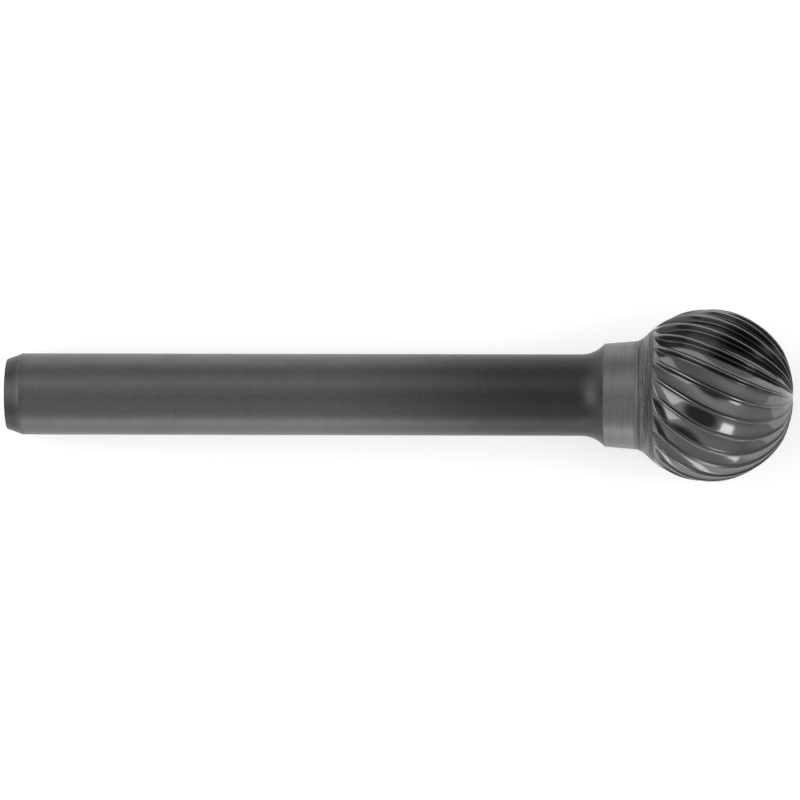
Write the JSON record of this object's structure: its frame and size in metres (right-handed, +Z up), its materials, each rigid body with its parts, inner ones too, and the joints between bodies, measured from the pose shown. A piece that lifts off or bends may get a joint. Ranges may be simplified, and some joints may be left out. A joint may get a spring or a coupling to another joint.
{
  "type": "ball carbide burr",
  "caption": "Ball-shaped rotary burr: a single-cut carbide head with helical saw-tooth flutes, brazed to a round steel shank with a flared collar.",
  "frame": {"origin": "on the floor, under the middle of the burr's bounding box as it lies at rest", "axes": "+X runs along the burr from the shank's end to the nose, seen from above; +Z is up; +Y is to the left of +X. The burr's own axis rises towards the nose by 3.76 degrees."},
  "size_m": [0.058, 0.0126, 0.0127],
  "materials": {
    "shank_steel": "satin ground",
    "braze": "dull, oxidised",
    "carbide": "polished, ground teeth"
  },
  "bodies": {
    "root": {"shank": "shank_steel", "braze_joint": "braze", "carbide_head": "carbide"}
  },
  "joints": []
}
